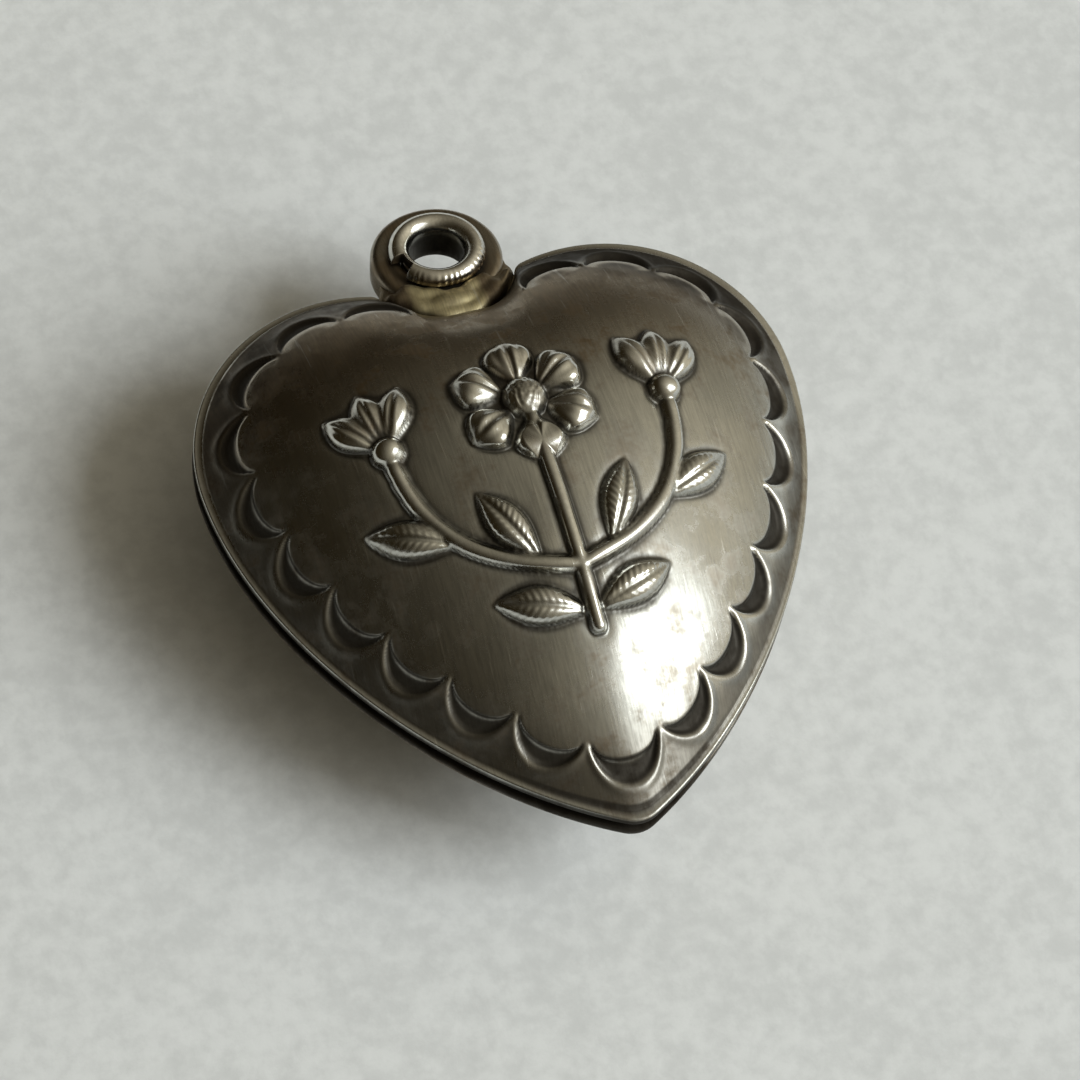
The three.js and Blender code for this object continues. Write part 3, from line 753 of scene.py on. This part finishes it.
class CHARM_OT_front_shell(bpy.types.Operator):
    """Build the stamped front with its border and sprig"""
    bl_idname = "charm.front_shell"
    bl_label = "Front shell"

    def execute(self, context):
        scene = context.scene
        plan, look, heart = HeartPlan(scene), scene.charm_silver, scene.charm_heart
        border = scene.charm_border
        crown = plan.dome_share(1 - heart.front_crown / plan.back_lip)
        shares = np.concatenate([
            np.linspace(1, 0.96, 9), np.linspace(0.96, 0.78, 56)[1:],
            np.linspace(0.78, 0.64, 18)[1:], np.linspace(0.64, crown, 92)[1:]])
        share, height, first = plan.shell(heart.front_crown, shares)
        x, y = plan.rings(share)
        points = raised(x, y, plan.front_lip + height)
        dome = points[first:]
        across, up = dome[..., 0], dome[..., 1]

        grooves, ridges, floors, shaded_walls, plateau_edges = border_marks(plan, border, across, up)
        strike = 0.66 + 0.34 * smooth(-0.004, 0.002, across)
        stamped = border.ridge * strike ** 2 * ridges - border.depth * strike * grooves
        edge_blur, stamp_blur, tarnish_blur = 0.00016, 0.000035, 0.00022
        sprig = sprig_relief(plan, scene.charm_sprig, across, up)
        sprig += 0.45 * (sprig - blurred(sprig, dome, edge_blur))
        relief = blurred(stamped + sprig, dome, stamp_blur)
        inside = smooth(0, 0.04, 1 - shares)[:, None]
        relief -= heart.waviness * ripple(across, up) * inside
        points[first:] += surface_normals(dome) * relief[..., None]
        level = sprig - blurred(sprig, dome, tarnish_blur)

        hollow, wear_and_sheen = np.zeros(x.shape), np.zeros(x.shape)
        flank = smooth(0.001, 0.004, across) * (1 - smooth(0.001, 0.004, up))
        right = smooth(0, 0.005, across)
        band = smooth(0.76 + 0.12 * flank, 0.94 + 0.03 * flank, shares[:, None]) * (0.42 + 0.1 * right)
        # The groove floors carry black oxide; the walls below the plateau edges are painted shade.
        blackened_and_shaded = np.maximum(floors * (0.66 + 0.14 * smooth(-0.004, 0.003, across)), 0.75 * shaded_walls)
        sunk = np.clip(-level / 0.00012, 0, 0.58)
        hollow[first:] = np.maximum.reduce([blackened_and_shaded, sunk, band])
        # Ridges worn clean, and painted brighter towards the right as a painted highlight.
        brightened = 0.25 + 0.6 * smooth(-0.003, 0.004, across)
        # A painted sheen: a cleaner patch on the right of the dome, where the window's reflection
        # spreads.
        painted_sheen = 0.55 * bell(np.hypot(across - 0.0036, up + 0.0011), 0.0015)
        wear_and_sheen[first:] = np.maximum.reduce([
            brightened * np.sqrt(ridges), 0.5 * plateau_edges, np.clip(level / 0.00009, 0, 1),
            painted_sheen * (1 - blackened_and_shaded)])

        face, foot, edge = lip_rows(first)
        ledge = first + LEDGE_ROWS
        oxide, tip_darkening, lip_wear = plan.lip_tarnish(x[first - 1], y[first - 1])
        # On the upper half the ledge beside the lip is painted lighter and brighter: a painted reflection
        # along the top lip.
        upper_lip_sheen = smooth(0.001, 0.004, y[first - 1])
        hollow[face] = oxide
        hollow[foot] = 0.4
        hollow[foot:ledge + 1] += tip_darkening
        hollow[first:ledge] *= 1 - 0.8 * upper_lip_sheen
        wear_and_sheen[edge] = lip_wear
        wear_and_sheen[foot + 1:ledge] = np.maximum(wear_and_sheen[foot + 1:ledge], 0.75 * upper_lip_sheen)
        toning = smooth(0.0015, 0.007, y) + 0 * x
        toning[foot - 1:ledge] = 0
        hollow[first:] += (0.19 + 0.15 * right) * toning[first:]
        hollow[first:] *= 1 - 0.8 * plateau_edges
        toning[first:] += 0.6 * band

        flat, faces, marks = capped(points, {"hollow": hollow, "wear_and_sheen": wear_and_sheen, "toning": toning})
        finish = silver_finish("front_silver", look, look.clean, look.dull, 0.62, look.roughness)
        new_piece("stamped_front", flat, faces, marks, "front_shell", finish)
        return {"FINISHED"}


class CHARM_OT_back_shell(bpy.types.Operator):
    """Build the plain back with the flat crown that the charm lies on"""
    bl_idname = "charm.back_shell"
    bl_label = "Back shell"

    def execute(self, context):
        scene = context.scene
        plan, look, heart = HeartPlan(scene), scene.charm_silver, scene.charm_heart
        rise = plan.back_lip + heart.back_crown
        crown = plan.dome_share(1 - heart.back_crown / (rise - heart.lip_height))
        share, height, first = plan.shell(heart.back_crown, np.linspace(1, crown, 80))
        x, y = plan.rings(share, 2)
        points = raised(x, y, height)
        dome, dome_shares = points[first:], share[first:]
        fade = smooth(0, 0.05, 1 - dome_shares) * smooth(0, 0.15, dome_shares - share[-1])
        dents = -1.6 * heart.waviness * ripple(dome[..., 0], dome[..., 1]) * fade[:, None]
        points[first:] += surface_normals(dome) * dents[..., None]
        points[..., 2] = plan.back_lip - points[..., 2]
        hollow, wear_and_sheen = np.zeros(x.shape), np.zeros(x.shape)
        hollow[first:] = 0.3 * bell(1 - dome_shares, 0.03)[:, None]
        face, foot, edge = lip_rows(first)
        oxide, tip_darkening, lip_wear = plan.lip_tarnish(x[first - 1], y[first - 1])
        hollow[face] = oxide
        hollow[foot:first] = 0.4 + tip_darkening
        wear_and_sheen[edge] = 0.4 * lip_wear
        wear_and_sheen[-3:] = 0.5
        toning = np.full(x.shape, 0.25)
        flat, faces, marks = capped(points, {"hollow": hollow, "wear_and_sheen": wear_and_sheen, "toning": toning})
        finish = silver_finish("back_silver", look, look.dull, look.brown, 0.15, look.roughness + 0.06)
        new_piece("plain_back", flat, faces, marks, "back_shell", finish)
        return {"FINISHED"}


class CHARM_OT_seam_solder(bpy.types.Operator):
    """Build the blackened solder run between the lips"""
    bl_idname = "charm.seam_solder"
    bl_label = "Seam solder"

    def execute(self, context):
        scene = context.scene
        plan, look, heart = HeartPlan(scene), scene.charm_silver, scene.charm_heart
        outer = 1 - heart.seam_recess / plan.reach
        inner = outer - heart.seam_width / plan.reach
        sunk = outer - 0.3 * heart.seam_width / plan.reach
        middle = (outer + sunk) / 2
        share = np.array([inner, outer, middle, sunk, middle, outer, inner])
        height = np.array([0, 0, 0.2, 0.5, 0.8, 1, 1]) * heart.seam_height
        free = np.array([0, 0, 1, 1, 1, 0, 0])[:, None]
        x, y = plan.rings(share, 2)
        points = raised(x, y, plan.back_lip + height)
        lump = 1 - 0.012 * ripple(x, y) * free
        points[..., :2] *= lump[..., None]
        faces = grid_faces(*points.shape[:2], closed=True)
        marks = {"hollow": 0.95 - 0.6 * plan.closed_flank(x, y), "wear_and_sheen": np.zeros(x.shape)}
        finish = silver_finish("seam", look, look.dull, look.brown, 0.3, 0.5)
        new_piece("seam_run", points, faces, marks, "seam_solder", finish)
        return {"FINISHED"}


def round_bail(plan, radius, turn, height):
    """Points at a radius, a turn and a height about the leaning axis of the bail."""
    x, y, lean = radius * np.cos(turn), radius * np.sin(turn), plan.bail.lean
    return np.stack([
        x, plan.bail_place + y * cos(lean) + height * sin(lean),
        plan.seam - y * sin(lean) + height * cos(lean)], axis=-1)


def bail_ring(plan, radius, height):
    """A ring of sections turned round the bail's axis: arrays of radius and height, section by turn."""
    return round_bail(plan, radius, full_turn(radius.shape[1]), height)


class CHARM_OT_bail_collar(bpy.types.Operator):
    """Build the heavy outer ring of the bail"""
    bl_idname = "charm.bail_collar"
    bl_label = "Bail collar"

    def execute(self, context):
        scene = context.scene
        plan, look, bail = HeartPlan(scene), scene.charm_silver, scene.charm_bail
        bore = bail.hole + bail.wall + bail.fit
        end, rounding = bail.length / 2, bail.rounding
        low = arc(bail.radius - rounding, rounding - end, rounding, -UPRIGHT, 0, 10)
        high = arc(bail.radius - rounding, end - rounding, rounding, 0, UPRIGHT, 10)
        wall = np.linspace(low[-1], high[0], 8)[1:-1]
        face = np.linspace(high[-1], (bore, end), 8)[1:]
        back = np.linspace((bore, -end), low[0], 8)[:-1]
        section = np.concatenate([back, low, wall, high, face])
        far, level = section[:, :1], section[:, 1:]
        turn = full_turn(192)[None, :]
        radius, height = far + 0 * turn, level + 0 * turn
        dent_depth, dent_run = 0.00004, 0.0015
        dents = ripple(dent_run * np.cos(turn) + height, dent_run * np.sin(turn) - height)
        radius -= dent_depth * smooth(bore, bail.radius, far) * dents
        points = bail_ring(plan, radius, height)
        sunk = points[..., 1] < plan.foot
        points[..., 1] = np.maximum(points[..., 1], plan.foot)
        lower = smooth(0.2, 0.95, -np.sin(turn)) + 0 * height
        under_flange = bell(far - bail.flange, 0.00012) * (level > 0.9 * end)
        edges = bell(far - bail.radius + 0.1 * rounding, 0.00006) * (np.abs(level) > 0.4 * end)
        marks = {
            "hollow": np.where(sunk, 0.8, 0.5 * under_flange + 0.35 * lower),
            "wear_and_sheen": 0.1 * edges + 0 * turn, "toning": 0.42 + 0.3 * lower}
        faces = grid_faces(*points.shape[:2], closed=True)
        finish = silver_finish("collar_silver", look, look.dull, look.brown, 0.15, look.roughness + 0.04)
        new_piece("collar_ring", points, faces, marks, "bail_collar", finish)
        return {"FINISHED"}


class CHARM_OT_bail_eyelet(bpy.types.Operator):
    """Build the rolled eyelet with its crimped flange"""
    bl_idname = "charm.bail_eyelet"
    bl_label = "Bail eyelet"

    def execute(self, context):
        scene = context.scene
        plan, look, bail = HeartPlan(scene), scene.charm_silver, scene.charm_bail
        tube, end = bail.hole + bail.wall, bail.length / 2
        seat = end + bail.fit
        roll = (bail.flange - bail.hole) / 2
        front = arc(bail.hole + roll, seat, roll, 0, pi, 26, bail.flange_height)
        flare = arc(
            bail.hole + bail.flare, bail.flare_depth - end, bail.flare,
            pi, 1.5 * pi, 10, bail.flare_depth)
        section = np.concatenate([
            np.linspace((tube, -end), (tube, seat), 8), np.linspace((tube, seat), front[0], 6)[1:-1],
            front, np.linspace(front[-1], flare[0], 8)[1:-1], flare])
        far, level = section[:, :1], section[:, 1:]
        lift = (level - seat) / bail.flange_height
        turn = full_turn(540)[None, :]
        radius, height = far + 0 * turn, level + 0 * turn
        torn = radians(2.5)
        gap = plateau(bail.gap_start, bail.gap_start + torn, bail.gap_end - torn, bail.gap_end, turn)
        radius = np.where(radius > tube, radius + (tube - radius) * gap, radius)
        outer = smooth(tube, bail.flange, far) ** 2 * (level >= seat)
        waves = 0.5 - 0.5 * np.cos(47 * turn + 1.3 * np.sin(5 * turn))
        crimps = waves * (0.6 + 0.4 * np.sin(7 * turn))
        low_edge = plateau(*np.radians([216, 232, 338, 352]), turn)
        radius -= bail.crimp * outer * crimps * low_edge
        height -= 0.5 * bail.crimp * outer * crimps * low_edge * (level > seat)
        dent_depth, dent_run = 0.00003, 0.0013
        dents = ripple(dent_run * np.cos(turn) + 0 * height, dent_run * np.sin(turn) + 0 * height)
        height -= dent_depth * smooth(0, 0.6, lift) * dents
        points = bail_ring(plan, radius, height)
        crest = smooth(0.45, 1, lift)
        inside = (far < tube) * smooth(0.2, -0.6, lift)
        hollow = 0.7 * inside + 0.8 * outer * gap + 0.55 * outer * crimps * low_edge * (crest < 0.5)
        toning = 0.5 * gap + 0.8 * outer * low_edge * (1 - crest)
        marks = {"hollow": hollow, "wear_and_sheen": crest * (1 - gap), "toning": toning}
        faces = grid_faces(*points.shape[:2], closed=True)
        finish = silver_finish(
            "eyelet_silver", look, look.clean, look.dull, 0.15, look.roughness - 0.07, look.polished)
        new_piece("rolled_eyelet", points, faces, marks, "bail_eyelet", finish)
        return {"FINISHED"}


class CHARM_OT_bail_solder(bpy.types.Operator):
    """Build the saddle of solder that has run between the bail and the notch"""
    bl_idname = "charm.bail_solder"
    bl_label = "Bail solder"

    def lumps(self, plan):
        """Centres and radii of the lumps that the solder has run into."""
        bail = plan.bail
        middle = (plan.foot + plan.notch) / 2
        face = bail.length / 2
        # The main lump between the ring's foot and the notch.
        yield (-0.0001, middle, plan.seam + 0.0003), (0.00128, 0.00056, 0.00082)
        # A run of solder under the ring from side to side.
        for turn in np.radians(np.linspace(-166, -14, 61)):
            flat = abs(cos(turn))
            swell = 0.0004 * (1 - 0.85 * smooth(0.85, 0.97, flat))
            high = 0.0006 * (1 - 0.5 * smooth(0.5, 0.95, flat))
            yield round_bail(plan, bail.radius - 0.00004, turn, 0), (swell, swell, high)
        # Fillets in the two corners between the ring and the lobes.
        for turn in np.radians([*range(-148, -114, 3), *range(-65, -31, 3)]):
            swell = 0.00026 * (1 - 0.5 * smooth(0.6, 0.85, abs(cos(turn))))
            yield round_bail(plan, bail.radius + 0.00014, turn, 0.00008), (swell, swell, 0.0005)
        # A skirt that has run from the ring's front face down over the notch.
        for turn in np.radians(np.arange(-138, -51, 3)):
            wander = 1 + 0.03 * sin(7 * turn) + 0.02 * sin(17 * turn)
            slim = 1 - 0.5 * smooth(0.3, 0.75, abs(cos(turn)))
            for step in np.linspace(0, 1, 7):
                far = bail.radius * (0.86 + 0.32 * step * slim) * wander
                high = face * (0.82 - 0.12 * sin(pi * step))
                yield round_bail(plan, far, turn, high), (0.00026, 0.00026, 0.00022)

    def execute(self, context):
        scene = context.scene
        plan, look = HeartPlan(scene), scene.charm_silver
        work = bmesh.new()
        for centre, radii in self.lumps(plan):
            shape = Matrix.LocRotScale(Vector(centre), None, Vector(radii))
            bmesh.ops.create_icosphere(work, subdivisions=3, radius=1, matrix=shape)
        mesh = bpy.data.meshes.new("solder lumps")
        work.to_mesh(mesh)
        work.free()
        rough = new_object("solder lumps", mesh)
        fuse = rough.modifiers.new("fuse", "REMESH")
        fuse.mode = "VOXEL"
        fuse.voxel_size = 0.00003
        soften = rough.modifiers.new("soften", "SMOOTH")
        soften.factor = 0.5
        soften.iterations = 40
        fused = rough.evaluated_get(context.evaluated_depsgraph_get()).to_mesh()
        points = np.array([v.co for v in fused.vertices])
        faces = [list(p.vertices) for p in fused.polygons]
        bpy.data.objects.remove(rough)
        aside = smooth(0.0007, 0.0012, np.abs(points[:, 0] + 0.00025))
        below = smooth(0.0006, 0.0002, points[:, 2] - plan.seam)
        dark = np.clip(aside + below, 0, 1)
        marks = {"hollow": 0.35 * dark, "wear_and_sheen": 0 * dark, "toning": 0.9 * dark}
        finish = silver_finish("solder", look, look.solder, look.dull_solder, 0, look.roughness + 0.2)
        new_piece("solder_saddle", points, faces, marks, "bail_solder", finish)
        return {"FINISHED"}


class CHARM_OT_stage(bpy.types.Operator):
    """Lay the paper, set the light and place the camera"""
    bl_idname = "charm.stage"
    bl_label = "Stage"

    def execute(self, context):
        scene = context.scene
        look = scene.charm_stage
        scene.view_settings.view_transform = "Standard"
        floor = bpy.data.meshes.new("paper")
        reach, low = 1.5, -0.000005
        corners = [(-reach, -reach, low), (reach, -reach, low), (reach, reach, low), (-reach, reach, low)]
        floor.from_pydata(corners, [], [(0, 1, 2, 3)])
        floor.materials.append(paper_finish(look))
        paper = new_object("paper", floor)
        window_azimuth, window_width = -27, 0.3
        curtain_azimuth, curtain_width = -54, 0.17
        self.lamp("window", look.gleam * look.window, window_azimuth, window_width)
        haze_power = (1 - look.gleam) * look.window
        haze = self.lamp("window_haze", haze_power, window_azimuth, window_width)
        haze.visible_glossy = False
        self.lamp("curtain", look.curtain, curtain_azimuth, curtain_width)
        self.room(scene, look)
        self.camera(scene, look)
        return {"FINISHED"}

    def lamp(self, name, power, azimuth, width):
        """A tall pane of light, turned towards the charm."""
        tall, away, rise, turn = 0.41, 0.6, radians(38), radians(azimuth)
        light = bpy.data.lights.new(name, "AREA")
        light.shape = "RECTANGLE"
        light.size, light.size_y = width, tall
        light.energy = power
        light.color = (0.92, 0.97, 1)
        pane = new_object(name, light)
        pane.location = away * Vector((
            cos(rise) * cos(turn), cos(rise) * sin(turn), sin(rise)))
        pane.rotation_euler = pane.location.to_track_quat("Z", "Y").to_euler()
        return pane

    def room(self, scene, look):
        """Dim away from the window, brighter overhead and towards it."""
        bright_way = (0.8, -0.29, 0.53)
        world = bpy.data.worlds.new("room")
        world.use_nodes = True
        weave = Weave(world.node_tree)
        way = weave.node("ShaderNodeTexCoord", {}, {}, "Generated")
        towards = weave.node("ShaderNodeVectorMath", {"operation": "DOT_PRODUCT"}, {
            0: way, 1: bright_way}, "Value")
        near = 0.4375 + 0.625 * towards
        tone = weave.mix(near * near * near, opaque(look.dark_side), opaque(look.bright_side))
        shader = weave.node("ShaderNodeBackground", {}, {"Color": tone, "Strength": look.room})
        weave.node("ShaderNodeOutputWorld", {}, {"Surface": shader})
        scene.world = world

    def camera(self, scene, look):
        """The photograph's view: looking down on the heart from the lower left, rolled a little."""
        plan = HeartPlan(scene)
        flat = cos(look.elevation)
        back = Vector((
            sin(look.azimuth) * flat, -cos(look.azimuth) * flat, sin(look.elevation)))
        up = Vector((0, 1, 0))
        up = (up - up.dot(back) * back).normalized()
        right = up.cross(back)
        turned_right = cos(look.roll) * right + sin(look.roll) * up
        turned_up = cos(look.roll) * up - sin(look.roll) * right
        lens = bpy.data.cameras.new("camera")
        lens.lens = look.lens
        lens.sensor_width = 36
        lens.clip_start = 0.01
        lens.shift_x, lens.shift_y = 0.0012, 0.0052
        camera = new_object("camera", lens)
        place = Vector((0, 0, plan.seam)) + look.distance * back
        turn = Matrix((turned_right, turned_up, back)).transposed().to_4x4()
        camera.matrix_world = Matrix.Translation(place) @ turn
        scene.camera = camera


class CHARM_PT_sidebar(bpy.types.Panel):
    """Sizes, colours and build steps of the charm"""
    bl_idname = "CHARM_PT_sidebar"
    bl_label = "Heart Charm"
    bl_space_type = "VIEW_3D"
    bl_region_type = "UI"
    bl_category = "Charm"

    def draw(self, context):
        for step in STEPS:
            self.layout.operator(step.bl_idname)
        for name, group in GROUPS.items():
            box = self.layout.box()
            box.label(text=group.__doc__)
            for key in group.__annotations__:
                box.prop(getattr(context.scene, name), key)


GROUPS = {
    "charm_heart": HeartSizes, "charm_border": BorderSizes, "charm_sprig": SprigSizes,
    "charm_bail": BailSizes, "charm_silver": SilverLook, "charm_stage": StageLook,
}
STEPS = (
    CHARM_OT_front_shell, CHARM_OT_back_shell, CHARM_OT_seam_solder, CHARM_OT_bail_collar,
    CHARM_OT_bail_eyelet, CHARM_OT_bail_solder, CHARM_OT_stage,
)


def register():
    for item in (*GROUPS.values(), *STEPS, CHARM_PT_sidebar):
        bpy.utils.register_class(item)
    for name, group in GROUPS.items():
        setattr(bpy.types.Scene, name, bpy.props.PointerProperty(type=group))


def unregister():
    for name in GROUPS:
        delattr(bpy.types.Scene, name)
    for item in reversed((*GROUPS.values(), *STEPS, CHARM_PT_sidebar)):
        bpy.utils.unregister_class(item)


def main():
    register()
    bpy.ops.charm.front_shell()
    bpy.ops.charm.back_shell()
    bpy.ops.charm.seam_solder()
    bpy.ops.charm.bail_collar()
    bpy.ops.charm.bail_eyelet()
    bpy.ops.charm.bail_solder()
    bpy.ops.charm.stage()


if __name__ == "__main__":
    main()
